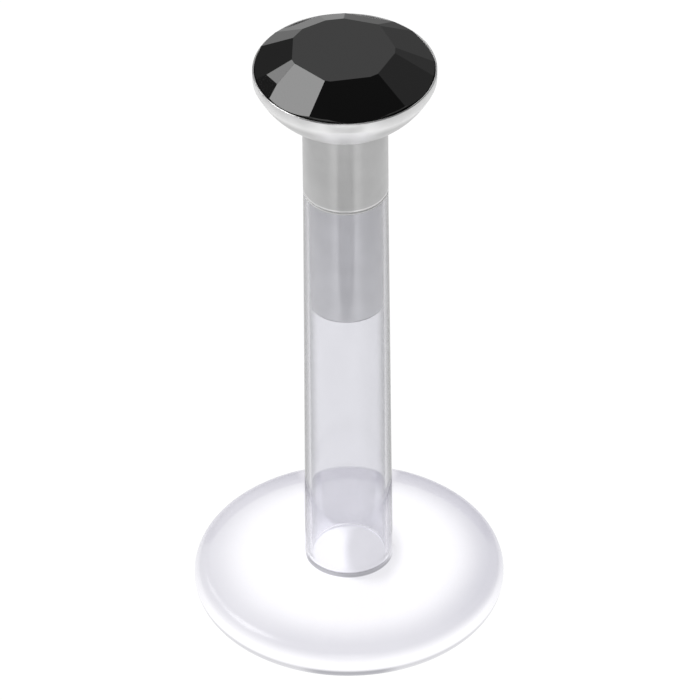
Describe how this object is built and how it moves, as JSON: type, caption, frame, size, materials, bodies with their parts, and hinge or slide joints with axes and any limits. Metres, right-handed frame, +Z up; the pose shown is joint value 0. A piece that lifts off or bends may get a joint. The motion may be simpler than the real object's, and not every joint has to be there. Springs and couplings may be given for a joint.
{
  "type": "labret stud",
  "caption": "Straight hollow bar of clear plastic moulded in one with a round disc, and a push-fit steel top that holds a faceted black stone.",
  "frame": {"origin": "middle of the disc's flat underside, on the bar's axis", "axes": "+Z up the bar towards the stone, -Y towards the viewer of the picture, +X to the viewer's right"},
  "size_m": [0.0044, 0.0044, 0.0096],
  "materials": {
    "clear_plastic": "gloss",
    "satin_steel": "satin",
    "black_glass": "polished"
  },
  "bodies": {
    "post": {"clear_post": "clear_plastic"},
    "top": {"steel_top": "satin_steel", "black_stone": "black_glass"}
  },
  "joints": [
    {"name": "top_pull", "type": "slide", "parent": "post", "child": "top", "axis": [0, 0, 1], "range_m": [0, 0.0025]}
  ]
}
